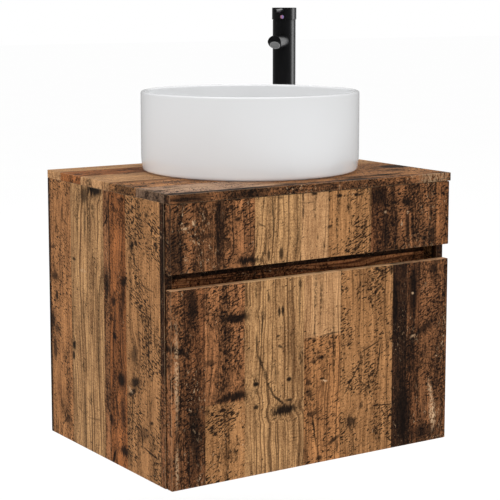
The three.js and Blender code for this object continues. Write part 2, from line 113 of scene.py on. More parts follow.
# ---- materials: node helpers ----
class Shade:
    """A material with a Principled shader, and short names for the nodes that feed it."""

    def __init__(self, name, **settings):
        self.material = bpy.data.materials.new(name)
        self.material.use_nodes = True
        self.tree = self.material.node_tree
        self.shader = self.tree.nodes["Principled BSDF"]
        for key, value in settings.items():
            self.shader.inputs[key.replace("_", " ")].default_value = value

    def set(self, key, socket):
        self.tree.links.new(socket, self.shader.inputs[key])

    def node(self, kind, inputs=(), **settings):
        made = self.tree.nodes.new("ShaderNode" + kind)
        for key, value in settings.items():
            setattr(made, key, value)
        pairs = inputs.items() if isinstance(inputs, dict) else enumerate(inputs)
        for key, value in pairs:
            if isinstance(value, bpy.types.NodeSocket):
                self.tree.links.new(value, made.inputs[key])
            else:
                made.inputs[key].default_value = value
        return made

    def math(self, operation, *inputs):
        return self.node("Math", inputs, operation=operation).outputs[0]

    def vector(self, operation, *inputs):
        return self.node("VectorMath", inputs, operation=operation).outputs[0]

    def place(self):
        """Position in the row frame, in millimetres."""
        where = self.node("TexCoord").outputs["Object"]
        return self.vector("MULTIPLY", where, (1 / MM,) * 3)

    def noise(self, where, stretch, detail=2.0, roughness=0.5, distortion=0.0):
        """Noise from 0 to 1, whose cells are 1 / stretch millimetres long on each axis."""
        scaled = self.vector("MULTIPLY", where, stretch)
        inputs = {"Vector": scaled, "Scale": 1.0, "Detail": detail, "Roughness": roughness,
                  "Distortion": distortion}
        return self.node("TexNoise", inputs).outputs["Fac"]

    def step(self, value, low, high, start=0.0, end=1.0):
        """A smooth step from start at low to end at high."""
        inputs = (value, low, high, start, end)
        return self.node("MapRange", inputs, interpolation_type="SMOOTHSTEP").outputs[0]

    def mix(self, share, first, second, blend_type="MIX"):
        inputs = {0: share, 6: first, 7: second}
        made = self.node("Mix", inputs, data_type="RGBA", blend_type=blend_type)
        return made.outputs[2]

    def ramp(self, value, stops, interpolation="LINEAR"):
        """The ramp's node: its outputs are the colour and the alpha at value."""
        made = self.node("ValToRGB", (value,))
        made.color_ramp.interpolation = interpolation
        elements = made.color_ramp.elements
        for position, colour in stops[2:]:
            elements.new(position)
        for element, (position, colour) in zip(elements, stops):
            element.position = position
            element.color = colour
        return made

    def bump(self, height, strength, distance_mm):
        inputs = {"Strength": strength, "Distance": distance_mm * MM, "Height": height}
        self.set("Normal", self.node("Bump", inputs).outputs[0])


# ---- materials: old planks ----
# Each kind of plank: lighter tone, darker tone, then its growth lines, flecks, grime and scuffs, 0 to 1.
PLANKS = {
    "pale": (display(216, 166, 112), display(102, 67, 39), 0.85, 0.20, 0.06, 0.02),
    "smooth": (display(214, 164, 114), display(128, 88, 55), 0.50, 0.12, 0.03, 0.00),
    "speckled": (display(198, 143, 92), display(104, 68, 38), 0.30, 1.00, 0.08, 0.03),
    "tan": (display(206, 144, 90), display(98, 61, 35), 0.45, 0.60, 0.10, 0.03),
    "red": (display(196, 132, 84), display(68, 43, 27), 0.45, 0.80, 0.34, 0.08),
    "rust": (display(196, 122, 68), display(76, 45, 25), 0.45, 0.40, 0.26, 0.03),
    "brown": (display(180, 120, 76), display(54, 34, 21), 0.50, 0.85, 0.46, 0.24),
    "dark": (display(170, 110, 68), display(40, 25, 16), 0.50, 0.70, 0.60, 0.26),
    "black": (display(100, 64, 40), display(24, 16, 11), 0.40, 0.40, 0.80, 0.16),
    "amber": (display(182, 120, 74), display(76, 47, 28), 0.60, 0.60, 0.20, 0.08),
    "rail": (display(236, 156, 100), display(96, 54, 32), 0.90, 0.50, 0.36, 0.10),
    "worn": (display(206, 166, 134), display(112, 78, 56), 0.30, 0.60, 0.12, 0.50),
}
SOOT = display(20, 13, 9)
CREAM = display(206, 170, 132)
# The colour of the painted highlight on the upper edges of upright boards.
PAINTED_HIGHLIGHT = display(250, 214, 170)
KNOT = 6  # the least half width of a mark that is ragged and that the grain bends round, in millimetres
MARK_SPREAD = 0.7  # how far a mark's stain runs past its own size, in millimetres
SEAM = 0.9  # half the width of the dark line between two planks, in millimetres
FLECK_TURN = -24  # degrees from the grain's crossing direction
MARKS_AT_ONCE = 10
NO_CHANGE = (-900, 1)  # a plank that stays one kind: its change lies far below the board


class Planks:
    """The pattern of a board made of old planks.

    across and along are the axes that the planks are counted and run on. Places in the pattern are
    (across, along) in millimetres from origin. A plank is (its far edge, its kind), or (its far edge, the
    upper kind, the height of the change, half its length, the lower kind). lit_edge is the strength of a
    painted highlight on the upward-facing upper edge of an upright board.
    """

    def __init__(self, name, across, along, origin, planks, marks=(), pale_marks=(), lit_edge=0.0):
        self.shade = Shade(name, Specular_IOR_Level=0.06)
        self.material = self.shade.material
        self.span = planks[-1][0]
        self.measure(across, along, origin, planks)
        self.find_marks(marks)
        colour = self.wood(planks)
        colour = self.worn(colour)
        colour = self.marked(colour, pale_marks)
        self.shade.set("Base Color", self.worn_and_highlighted_edges(colour, lit_edge))

    def measure(self, across, along, origin, planks):
        """Sets self.flat, the place on the board, and self.grain, which is shifted from plank to plank."""
        shade = self.shade
        axes = shade.node("SeparateXYZ", (shade.place(),)).outputs
        depth = (set("XYZ") - {across, along}).pop()
        turned = shade.node("CombineXYZ", [axes["XYZ".index(axis)] for axis in (across, along, depth)])
        shift = (-origin[0] / MM, -origin[1] / MM, 0)
        self.flat = shade.vector("ADD", turned.outputs[0], shift)
        self.u, self.v = shade.node("SeparateXYZ", (self.flat,)).outputs[:2]
        self.edges = [0.0] + [plank[0] / self.span for plank in planks[:-1]]
        self.share = shade.math("DIVIDE", self.u, self.span)
        seeds = [((i * 0.618 + 0.21) % 1,) * 3 + (1.0,) for i in range(len(planks))]
        offset = shade.vector("MULTIPLY", self.per_plank(seeds)[0], (90, 4000, 700))
        self.grain = shade.vector("ADD", self.flat, offset)

    def per_plank(self, values):
        """The colour and alpha outputs of a ramp that holds one value per plank."""
        return self.shade.ramp(self.share, list(zip(self.edges, values)), "CONSTANT").outputs

    def kind(self, planks):
        """The kind of wood at each place: light tone, dark tone, lines, flecks, grime, scuffs."""
        shade = self.shade
        above = [PLANKS[plank[1]] for plank in planks]
        below = [PLANKS[plank[-1]] for plank in planks]
        light, deep, worn, scuffs = self.kind_outputs(above)
        if above != below:
            low = self.kind_outputs(below)
            changes = [plank[2:4] if len(plank) > 2 else NO_CHANGE for plank in planks]
            heights = [(height, reach, 0, 1) for height, reach in changes]
            height, reach = shade.node("SeparateColor", (self.per_plank(heights)[0],)).outputs[:2]
            wavy = shade.math("MULTIPLY_ADD", shade.noise(self.flat, (0.1, 0.01, 0.1), 3), reach, self.v)
            start = shade.math("SUBTRACT", height, reach)
            upper = shade.step(wavy, start, shade.math("ADD", height, reach))
            light = shade.mix(upper, low[0], light)
            deep = shade.mix(upper, low[1], deep)
            worn = shade.mix(upper, low[2], worn)
        self.lines, self.flecks, self.grime = shade.node("SeparateColor", (worn,)).outputs
        self.scuffs = scuffs
        return light, deep

    def kind_outputs(self, kinds):
        worn = self.per_plank([kind[2:] for kind in kinds])
        light = self.per_plank([kind[0] for kind in kinds])[0]
        deep = self.per_plank([kind[1] for kind in kinds])[0]
        return light, deep, worn[0], worn[1]

    def patches(self, where, stretch, amount, soft, detail=3, roughness=0.6, distortion=0.0):
        """Irregular patches that cover about a share amount of the surface, with edges of softness soft."""
        shade = self.shade
        spread = 0.26 if detail > 4 else 0.32
        level = shade.noise(where, stretch, detail, roughness, distortion)
        level = shade.math("MULTIPLY_ADD", level, 1 / spread, 0.5 - 0.5 / spread)
        low = shade.math("MULTIPLY_ADD", shade.math("POWER", amount, 0.5), -0.95, 1.15 - soft)
        return shade.step(level, low, shade.math("ADD", low, 2 * soft))

    def find_marks(self, marks):
        """Knots, holes, smears and scratches."""
        shade = self.shade
        ragged = shade.noise(self.flat, (0.18, 0.24, 0.2), 4, 0.7)
        brushed = shade.noise(self.flat, (0.35, 0.02, 0.2), 2, 0.6)
        across = shade.math("MULTIPLY_ADD", ragged, 16.0, -8.0)
        along = shade.math("MULTIPLY_ADD", brushed, 22.0, -11.0)
        wander = shade.node("CombineXYZ", (across, along, 0.0)).outputs[0]
        self.moved = shade.vector("ADD", self.flat, wander)
        trembling = shade.node("CombineXYZ", (shade.math("MULTIPLY_ADD", ragged, 5.0, -2.5),) * 2 + (0.0,))
        self.steady = shade.vector("ADD", self.flat, trembling.outputs[0])
        self.dark = None
        self.halo = None
        for i, mark in enumerate(marks):
            if i % MARKS_AT_ONCE == MARKS_AT_ONCE - 1:
                self.wait_for(self.dark)
            distance = self.distance(mark)
            self.dark = self.strongest(self.dark, shade.step(distance, 0.5, 1.3, mark[5], 0.0))
            if min(mark[2:4]) >= KNOT:
                self.halo = self.strongest(self.halo, shade.step(distance, 0.6, 2.6, 1.0, 0.0))

    def wait_for(self, value):
        """Makes the next marks start from value: the renderer can't hold every mark of a board at once."""
        nudge = (1e-7, 1e-7, 1e-7)
        self.steady = self.shade.vector("MULTIPLY_ADD", value, nudge, self.steady)
        self.moved = self.shade.vector("MULTIPLY_ADD", value, nudge, self.moved)

    def distance(self, mark):
        """Distance from a mark's centre, where 1 is its edge."""
        u, v, half_u, half_v, turn = mark[:5]
        inputs = {
            "Vector": self.steady if min(half_u, half_v) < KNOT else self.moved,
            "Location": (u, v, 0),
            "Rotation": (0, 0, math.radians(turn)),
            "Scale": (half_u + MARK_SPREAD, half_v + MARK_SPREAD, 1e4),
        }
        local = self.shade.node("Mapping", inputs, vector_type="TEXTURE").outputs[0]
        return self.shade.node("VectorMath", (local,), operation="LENGTH").outputs["Value"]

    def strongest(self, first, second):
        return second if first is None else self.shade.math("MAXIMUM", first, second)

    def wood(self, planks):
        """Clean wood: fibres, streaks, bands and growth lines that bend round the knots."""
        shade = self.shade
        light, deep = self.kind(planks)
        self.light = light
        slow = shade.noise(self.grain, (0.012, 0.0045, 0.01), 2)
        bend = shade.math("MULTIPLY", slow, 40.0)
        if self.halo is not None:
            bend = shade.math("MULTIPLY_ADD", self.halo, 9.0, bend)
        sideways = shade.node("CombineXYZ", (bend, 0.0, 0.0)).outputs[0]
        self.along = shade.vector("ADD", self.grain, sideways)

        self.fibre = shade.step(shade.noise(self.along, (0.30, 0.018, 0.3), 4, 0.75), 0.40, 0.60)
        streak = shade.step(shade.noise(self.along, (0.11, 0.004, 0.05), 3, 0.6), 0.42, 0.58)
        band = shade.step(shade.noise(self.grain, (0.05, 0.0012, 0.02), 2), 0.42, 0.58)
        cloud = shade.step(shade.noise(self.grain, (0.030, 0.015, 0.02), 5, 0.7), 0.40, 0.60)
        grit = shade.step(shade.noise(self.flat, (0.42, 0.30, 0.3), 3, 0.85), 0.42, 0.58)
        tone = shade.math("MULTIPLY_ADD", streak, 0.26, shade.math("MULTIPLY", self.fibre, 0.26))
        tone = shade.math("MULTIPLY_ADD", band, 0.14, tone)
        tone = shade.math("MULTIPLY_ADD", cloud, 0.18, tone)
        tone = shade.math("MULTIPLY_ADD", grit, 0.38, shade.math("SUBTRACT", tone, 0.09))
        amount = shade.math("MULTIPLY", self.lines, 0.34)
        self.line = self.patches(self.along, (0.30, 0.0024, 0.1), amount, 0.10)
        colour = shade.mix(tone, deep, light)
        darker = shade.mix(0.45, deep, SOOT)
        return shade.mix(shade.math("MULTIPLY", self.line, 0.74), colour, darker)

    def worn(self, colour):
        """Saw marks, flecks, dirt, paint scuffs and the seams between planks."""
        shade = self.shade
        sawn = shade.step(shade.noise(self.flat, (0.03, 0.75, 0.4), 3, 0.6), 0.52, 0.66)
        area = shade.step(shade.noise(self.grain, (0.016, 0.011, 0.02), 2), 0.40, 0.60, 0.10, 0.42)
        amount = shade.math("MULTIPLY", self.flecks, area)
        turned = {"Vector": self.flat, "Rotation": (0, 0, math.radians(FLECK_TURN))}
        slanted = shade.node("Mapping", turned).outputs[0]
        fleck = self.patches(slanted, (0.11, 0.33, 0.3), amount, 0.05, 3, 0.66, 0.3)

        dirt = self.patches(self.grain, (0.040, 0.014, 0.03), self.grime, 0.20, 6, 0.76)
        amount = shade.math("MULTIPLY", self.grime, 0.6)
        streaks = self.patches(self.along, (0.055, 0.0025, 0.04), amount, 0.16, 2)
        mottle = shade.step(shade.noise(self.flat, (0.30, 0.16, 0.2), 4, 0.7), 0.40, 0.58, 0.15, 1.0)
        dirt = shade.math("MULTIPLY", shade.math("MAXIMUM", dirt, streaks), mottle)

        where = self.patches(self.grain, (0.018, 0.010, 0.02), 0.42, 0.2, 2)
        amount = shade.math("MULTIPLY", self.scuffs, 0.30)
        rub = self.patches(self.grain, (0.22, 0.10, 0.1), amount, 0.08, 6, 0.8)
        rub = shade.math("MULTIPLY", rub, where)

        colour = shade.mix(shade.math("MULTIPLY", sawn, 0.26), colour, SOOT)
        colour = shade.mix(shade.math("MULTIPLY", fleck, 0.94), colour, SOOT)
        colour = shade.mix(shade.math("MULTIPLY", dirt, 0.90), colour, SOOT)
        colour = shade.mix(shade.math("MULTIPLY", rub, 0.80), colour, CREAM)
        colour = shade.mix(shade.math("MULTIPLY", self.seams(), 0.8), colour, SOOT)

        dark = self.strongest(self.dark, fleck)
        rough = shade.math("MULTIPLY_ADD", self.fibre, 0.08, 0.50)
        shade.set("Roughness", shade.math("MULTIPLY_ADD", dirt, 0.16, rough))
        relief = shade.math("SUBTRACT", self.fibre, shade.math("ADD", dark, self.line))
        shade.bump(relief, 0.2, 0.2)
        return colour

    def seams(self):
        stops = [(0.0, (0, 0, 0, 1))]
        for edge in self.edges[1:]:
            for offset, level in ((-SEAM, 0), (0, 1), (SEAM, 0)):
                stops.append((edge + offset / self.span, (level, level, level, 1)))
        return self.shade.ramp(self.share, stops).outputs[0]

    def marked(self, colour, pale_marks):
        shade = self.shade
        if self.halo is not None:
            colour = shade.mix(shade.math("MULTIPLY", self.halo, 0.22), colour, SOOT)
        if self.dark is not None:
            colour = shade.mix(self.dark, colour, SOOT)
        for mark in pale_marks:
            chips = self.patches(self.flat, (0.30, 0.22, 0.1), 0.55, 0.12, 5, 0.7)
            shape = shade.step(self.distance(mark), 0.3, 1.3, mark[5], 0.0)
            colour = shade.mix(shade.math("MULTIPLY", chips, shape), colour, CREAM)
        return colour

    def worn_and_highlighted_edges(self, colour, lit_edge):
        """Arrises lighter where the surface turns from one face to the next: part wear, part painted
        highlight along the arrises. With lit_edge, upward-facing faces also get a painted highlight.
        """
        shade = self.shade
        normal = shade.vector("ABSOLUTE", shade.node("NewGeometry").outputs["True Normal"])
        x, y, z = shade.node("SeparateXYZ", (normal,)).outputs
        flat = shade.math("MAXIMUM", shade.math("MAXIMUM", x, y), z)
        worn = shade.noise(self.flat, (0.05, 0.04, 0.05), 4, 0.7)
        # Lighter arrises: part edge wear, part painted highlight.
        turning = shade.step(flat, 0.84, 0.97, 1.0, 0.0)
        arris = shade.math("MULTIPLY", turning, shade.step(worn, 0.35, 0.55, 0.05, 0.45))
        colour = shade.mix(arris, colour, CREAM)
        # Painted highlight: faces that point up are lightened, as if lit from above.
        if lit_edge:
            facing_up = shade.step(z, 0.7, 0.9)
            upper = shade.math("MULTIPLY", facing_up, shade.step(worn, 0.38, 0.5, 0.4, lit_edge))
            colour = shade.mix(upper, colour, shade.mix(0.30, self.light, PAINTED_HIGHLIGHT))
        return colour


# ---- lights, floor and camera ----
REFLECTED_SKY = 0.35  # strength of the white surroundings in reflections
# The pieces of these slots have lights of their own.
LIT_PIECES = {slot: bpy.data.collections.new("lit_" + slot) for slot in ("tap_black", "ceramic")}
BUT_THE_BASIN = bpy.data.collections.new("but_the_basin")

CAMERA_PLACE = (-1.583, -2.409, 0.829)
CAMERA_TILT = -7.9  # degrees from level
CAMERA_TURN = -33.4  # degrees from looking along +Y
CAMERA_LENS = 112.6
CAMERA_SHIFT = -0.08
FLOOR_Z = -0.33


def camera():
    data = bpy.data.cameras.new("camera")
    data.lens = CAMERA_LENS
    data.sensor_width = 36
    data.shift_y = CAMERA_SHIFT
    data.clip_start = 0.05
    data.clip_end = 50
    made = bpy.data.objects.new("camera", data)
    made.location = CAMERA_PLACE
    made.rotation_euler = (math.radians(90 + CAMERA_TILT), 0, math.radians(CAMERA_TURN))
    bpy.context.scene.collection.objects.link(made)
    bpy.context.scene.camera = made


def softbox(name, place, target, size, power):
    data = bpy.data.lights.new(name, "AREA")
    data.shape = "RECTANGLE"
    data.size, data.size_y = size
    data.energy = power
    made = bpy.data.objects.new(name, data)
    made.location = place
    made.rotation_euler = (Vector(target) - Vector(place)).to_track_quat("-Z", "Y").to_euler()
    bpy.context.scene.collection.objects.link(made)
    return made


def studio():
    scene = bpy.context.scene
    scene.view_settings.view_transform = "Standard"
    scene.world = bpy.data.worlds.new("studio")
    scene.world.use_nodes = True
    tree = scene.world.node_tree
    background = tree.nodes["Background"]
    background.inputs["Color"].default_value = (1.0, 1.0, 1.0, 1.0)
    path = tree.nodes.new("ShaderNodeLightPath")
    strength = tree.nodes.new("ShaderNodeMapRange")
    strength.inputs["To Min"].default_value = 1.0
    strength.inputs["To Max"].default_value = REFLECTED_SKY
    tree.links.new(path.outputs["Is Glossy Ray"], strength.inputs["Value"])
    tree.links.new(strength.outputs[0], background.inputs["Strength"])
    middle = (0, 0, 0.4)
    softbox("overhead", (-0.3, -0.4, 3.2), middle, (3.0, 3.0), 24)
    side = softbox("right_front", (2.2, -2.2, 1.6), middle, (0.7, 2.0), 3)
    side.light_linking.receiver_collection = BUT_THE_BASIN
    for name, place, size, power in (("tap_strip", (2.81, -1.31, 0.9), (1.5, 2.0), 125),
                                     ("tap_rim", (2.68, 1.9, 0.9), (2.0, 2.0), 12)):
        light = softbox(name, place, TAP_SITE, size, power)
        light.light_linking.receiver_collection = LIT_PIECES["tap_black"]
    basin_lights()


def basin_lights():
    """Soft lights round the foot of the basin, which the vanity doesn't block, and one over the bowl."""
    middle = BASIN_SITE + Vector((0, 0, 0.07))
    lights = [softbox("basin_bowl", middle + Vector((0, 0, 0.9)), middle, (0.15, 0.15), 5.0)]
    away, below = 0.57, 0.32
    for i in range(4):
        turn = math.radians(55 + 90 * i)
        place = middle + Vector((away * math.cos(turn), away * math.sin(turn), -below))
        lights.append(softbox("basin_foot_%d" % i, place, middle, (0.8, 0.2), 1.3))
    for light in lights:
        light.light_linking.receiver_collection = LIT_PIECES["ceramic"]
        light.light_linking.blocker_collection = LIT_PIECES["ceramic"]
        light.visible_camera = False
        light.visible_glossy = False


def floor():
    bpy.ops.mesh.primitive_plane_add(size=60, location=(0, 0, FLOOR_Z))
    made = bpy.context.object
    made.name = "floor"
    shade = Shade("floor_white", Roughness=0.9, Specular_IOR_Level=0.0)
    haze = shade.noise(shade.place(), (0.002, 0.002, 0.002), 2)
    white = shade.mix(haze, (0.98, 0.98, 0.98, 1), (0.99, 0.99, 0.99, 1))
    in_reflections = shade.node("LightPath").outputs["Is Glossy Ray"]
    dimmed = (REFLECTED_SKY,) * 3 + (1.0,)
    shade.set("Base Color", shade.mix(in_reflections, white, dimmed))
    made.data.materials.append(shade.material)


# ---- other materials ----
def glazed_ceramic():
    shade = Shade("glazed_ceramic", Coat_Weight=0.6, Coat_Roughness=0.05, Specular_IOR_Level=0.5)
    place = shade.place()
    cloud = shade.noise(place, (0.012, 0.012, 0.012), 2)
    shade.set("Base Color", shade.mix(cloud, (0.60, 0.604, 0.61, 1), (0.62, 0.624, 0.63, 1)))
    shade.set("Roughness", shade.step(shade.noise(place, (0.05, 0.05, 0.05), 3), 0.3, 0.7, 0.10, 0.18))
    shade.bump(shade.noise(place, (0.03, 0.03, 0.03), 1), 0.08, 0.4)
    return shade.material


def satin_black():
    shade = Shade("satin_black", Specular_IOR_Level=0.13)
    place = shade.place()
    grain = shade.noise(place, (6.0, 6.0, 6.0), 2)
    cloud = shade.noise(place, (0.06, 0.06, 0.03), 3)
    shade.set("Base Color", shade.mix(cloud, (0.0025, 0.0025, 0.0028, 1), (0.005, 0.005, 0.0055, 1)))
    shade.set("Roughness", shade.step(grain, 0.3, 0.7, 0.26, 0.32))
    shade.bump(grain, 0.06, 0.05)
    return shade.material


def polished_chrome():
    shade = Shade("polished_chrome", Metallic=1.0)
    place = shade.place()
    smear = shade.noise(place, (0.08, 0.08, 0.02), 4)
    shade.set("Base Color", shade.mix(smear, (0.74, 0.75, 0.77, 1), (0.84, 0.85, 0.86, 1)))
    shade.set("Roughness", shade.step(smear, 0.35, 0.75, 0.05, 0.14))
    return shade.material


def zinc_plate():
    shade = Shade("zinc_plate", Metallic=0.85)
    place = shade.place()
    rolled = shade.noise(place, (0.8, 0.02, 0.8), 3)
    spangle = shade.noise(place, (0.12, 0.12, 0.12), 5, 0.7)
    shade.set("Base Color", shade.mix(spangle, (0.50, 0.51, 0.53, 1), (0.72, 0.73, 0.74, 1)))
    shade.set("Roughness", shade.step(rolled, 0.3, 0.7, 0.26, 0.42))
    shade.bump(rolled, 0.05, 0.1)
    return shade.material


def turned_brass():
    shade = Shade("turned_brass", Metallic=1.0)
    place = shade.place()
    turning = shade.noise(place, (0.05, 0.05, 3.0), 2)
    age = shade.noise(place, (0.1, 0.1, 0.1), 4, 0.6)
    shade.set("Base Color", shade.mix(age, (0.50, 0.35, 0.15, 1), (0.78, 0.60, 0.30, 1)))
    shade.set("Roughness", shade.step(turning, 0.3, 0.7, 0.24, 0.40))
    shade.bump(turning, 0.08, 0.1)
    return shade.material


def soft_rubber():
    shade = Shade("soft_rubber", Specular_IOR_Level=0.3)
    place = shade.place()
    bloom = shade.noise(place, (0.15, 0.15, 0.15), 4)
    shade.set("Base Color", shade.mix(bloom, (0.012, 0.012, 0.012, 1), (0.032, 0.031, 0.030, 1)))
    shade.set("Roughness", shade.step(bloom, 0.3, 0.7, 0.68, 0.86))
    shade.bump(shade.noise(place, (2.0, 2.0, 2.0), 2), 0.1, 0.1)
    return shade.material


def moulded_plastic(name, low, high):
    """A moulded plastic, between two linear colours."""
    shade = Shade(name, Specular_IOR_Level=0.45)
    place = shade.place()
    flow = shade.noise(place, (0.03, 0.03, 0.06), 3)
    shade.set("Base Color", shade.mix(flow, low, high))
    shade.set("Roughness", shade.step(flow, 0.3, 0.7, 0.34, 0.46))
    shade.bump(shade.noise(place, (1.6, 1.6, 1.6), 2), 0.08, 0.08)
    return shade.material


def melamine():
    """Light drawer board with a faint linen print."""
    shade = Shade("melamine", Specular_IOR_Level=0.4)
    place = shade.place()
    warp = shade.noise(place, (1.2, 1.2, 0.05), 2)
    weft = shade.noise(place, (0.05, 0.05, 1.2), 2)
    linen = shade.math("MULTIPLY", shade.math("ADD", warp, weft), 0.5)
    shade.set("Base Color", shade.mix(linen, (0.52, 0.50, 0.46, 1), (0.74, 0.72, 0.68, 1)))
    shade.set("Roughness", shade.step(linen, 0.3, 0.7, 0.42, 0.56))
    shade.bump(linen, 0.12, 0.08)
    return shade.material


def indicator_dot():
    """A button, red on the hot side and blue on the cold side, parted along the spout's direction."""
    shade = Shade("indicator_dot", Specular_IOR_Level=0.5, Coat_Weight=0.5, Coat_Roughness=0.1)
    place = shade.place()
    across = (-math.sin(TAP_TURN), math.cos(TAP_TURN), 0)
    from_axis = shade.vector("SUBTRACT", place, tuple(c / MM for c in TAP_SITE))
    side = shade.node("VectorMath", (from_axis, across), operation="DOT_PRODUCT").outputs["Value"]
    wavy = shade.math("MULTIPLY_ADD", shade.noise(place, (1.5, 1.5, 1.5), 2), 0.3, side)
    share = shade.step(wavy, -0.15, 0.45)
    shade.set("Base Color", shade.mix(share, (0.42, 0.16, 0.26, 1), (0.30, 0.21, 0.48, 1)))
    shade.set("Roughness", shade.step(shade.noise(place, (0.8, 0.8, 0.8), 2), 0.3, 0.7, 0.25, 0.35))
    return shade.material


# ---- mesh helpers ----
def rounded(corners, steps=4):
    """The outline through corners of (x, y) or (x, y, cut): a cut corner is rounded over that distance."""
    outline = []
    for i, corner in enumerate(corners):
        here = Vector(corner[:2])
        cut = corner[2] if len(corner) > 2 else 0
        if not cut:
            outline.append(here)
            continue
        before = Vector(corners[i - 1][:2])
        after = Vector(corners[(i + 1) % len(corners)][:2])
        start = here + (before - here).normalized() * cut
        end = here + (after - here).normalized() * cut
        for step in range(steps + 1):
            t = step / steps
            outline.append(start * (1 - t) ** 2 + here * 2 * t * (1 - t) + end * t ** 2)
    return outline


def lathe(name, corners, place, segments=96, closed=False):
    """A solid turned about its own Z axis from corners (radius, height) in millimetres, put in place."""
    build = bmesh.new()
    rings = []
    for radius, height in rounded(corners):
        count = segments if radius > 1e-6 else 1
        turns = [2 * math.pi * i / segments for i in range(count)]
        ring = [build.verts.new((radius * math.cos(a), radius * math.sin(a), height)) for a in turns]
        rings.append(ring)
    following = rings[1:] + rings[:1] if closed else rings[1:]
    for low, high in zip(rings, following):
        for i in range(segments):
            j = i + 1
            around = [low[i % len(low)], low[j % len(low)], high[j % len(high)], high[i % len(high)]]
            build.faces.new(list(dict.fromkeys(around)))
    bmesh.ops.recalc_face_normals(build, faces=build.faces)
    return mesh_object(name, build, place @ Matrix.Scale(MM, 4))


def mesh_object(name, build, place):
    mesh = bpy.data.meshes.new(name)
    build.to_mesh(mesh)
    build.free()
    mesh.transform(place)
    made = bpy.data.objects.new(name, mesh)
    bpy.context.scene.collection.objects.link(made)
    return made


def smooth(piece, angle=30):
    """Smooth shading, with edges sharper than angle kept crisp."""
    piece.data.polygons.foreach_set("use_smooth", [True] * len(piece.data.polygons))
    piece.data.set_sharp_from_angle(angle=math.radians(angle))


def soften(piece, width_mm, segments=3, angle=30):
    modifier = piece.modifiers.new("arris", "BEVEL")
    modifier.width = width_mm * MM
    modifier.segments = segments
    modifier.limit_method = "ANGLE"
    modifier.angle_limit = math.radians(angle)
    modifier.harden_normals = True


def carve(piece, *cutters):
    """Cuts the cutters out of piece and removes them."""
    for cutter in cutters:
        modifier = piece.modifiers.new("cut", "BOOLEAN")
        modifier.operation = "DIFFERENCE"
        modifier.solver = "EXACT"
        modifier.object = cutter
    bpy.context.view_layer.update()
    graph = bpy.context.evaluated_depsgraph_get()
    mesh = bpy.data.meshes.new_from_object(piece.evaluated_get(graph))
    piece.modifiers.clear()
    piece.data = mesh
    for cutter in cutters:
        bpy.data.objects.remove(cutter)
    return piece


def at(place, z_mm=0):
    return Matrix.Translation(place + Vector((0, 0, z_mm * MM)))


def facing(place, direction):
    """A placement whose own Z axis points along direction from place."""
    turn = Vector(direction).to_track_quat("Z", "Y").to_matrix().to_4x4()
    return Matrix.Translation(place) @ turn


def hex_nut(name, across_corners, bore, low, high, place):
    corners = [(0, low), (across_corners / 2, low), (across_corners / 2, high), (0, high)]
    nut = lathe(name, corners, place, 6)
    hole = lathe("bore", [(0, low - 2), (bore, low - 2), (bore, high + 2), (0, high + 2)], place, 64)
    carve(nut, hole)
    soften(nut, 0.8)
    return nut


def finish(piece, material):
    piece.data.materials.clear()
    piece.data.materials.append(material)


SLOT_OF = {row["node"]: row["material_slot"] for row in frame["record"]["subparts"]}
BODY_OF = {}
for body, members in frame["record"]["behaviour"]["bodies"].items():
    BODY_OF.update((node, body) for node in members)


def stand_for(piece, node):
    """piece is shown in place of a CAD node, on its body, with the finish of its slot."""
    piece.name = node + "_finished"
    finish(piece, FINISHES[SLOT_OF[node]])
    smooth(piece)
    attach(piece, BODY_OF[node])
    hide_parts(node)
    if SLOT_OF[node] in LIT_PIECES:
        LIT_PIECES[SLOT_OF[node]].objects.link(piece)
    if node == "basin":
        BUT_THE_BASIN.objects.link(piece)
        BUT_THE_BASIN.collection_objects[0].light_linking.link_state = "EXCLUDE"


# ---- basin and waste ----
def basin():
    low = 0.2
    inner = BASIN_R - BASIN_WALL
    top = BASIN_HEIGHT
    profile = [
        (WASTE_R + 3, low),
        (BASIN_R - 15, low),
        (BASIN_R - 12, low + 1.4, 1.4),
        (BASIN_R - 2.5, low + 2.6, 5),
        (BASIN_R, 22, 12),
        (BASIN_R, top, 4.4),
        (inner, top, 4.4),
        (inner - 1.5, 70, 30),
        (inner - 5, BASIN_FLOOR + 1.5, 46),
        (40, BASIN_FLOOR - 1, 20),
        (33, BASIN_FLOOR - 3, 3),
        (33, WASTE_SEAT, 1),
        (WASTE_R + 3, WASTE_SEAT),
    ]
    piece = lathe("basin_shell", profile, at(BASIN_SITE), 192, closed=True)
    stand_for(piece, "basin")


def waste():
    seat = WASTE_SEAT
    bore = WASTE_R - 3
    flange = [(bore, -82), (WASTE_R, -82), (WASTE_R, seat + 1.4), (31, seat + 1.4, 0.5),
              (32, seat + 3, 0.8), (30.5, seat + 3.6, 0.6), (bore + 2, seat + 2.6, 1),
              (bore, seat + 1, 0.5)]
    stand_for(lathe("flange", flange, at(BASIN_SITE), closed=True), "waste_flange")
    plug = [(0, -14), (4, -14, 0.8), (4, seat + 3), (11, seat + 3), (11, seat + 4.2), (29, seat + 4.2),
            (31, seat + 5.4, 1.2), (27, seat + 7.2, 2), (14, seat + 8.7, 4), (0, seat + 9)]
    stand_for(lathe("plug", plug, at(BASIN_SITE)), "waste_plug")
    nut = hex_nut("locknut", 68, WASTE_R + 0.4, UNDERSIDE - 13, UNDERSIDE - 3.2, at(BASIN_SITE))
    stand_for(nut, "waste_locknut")


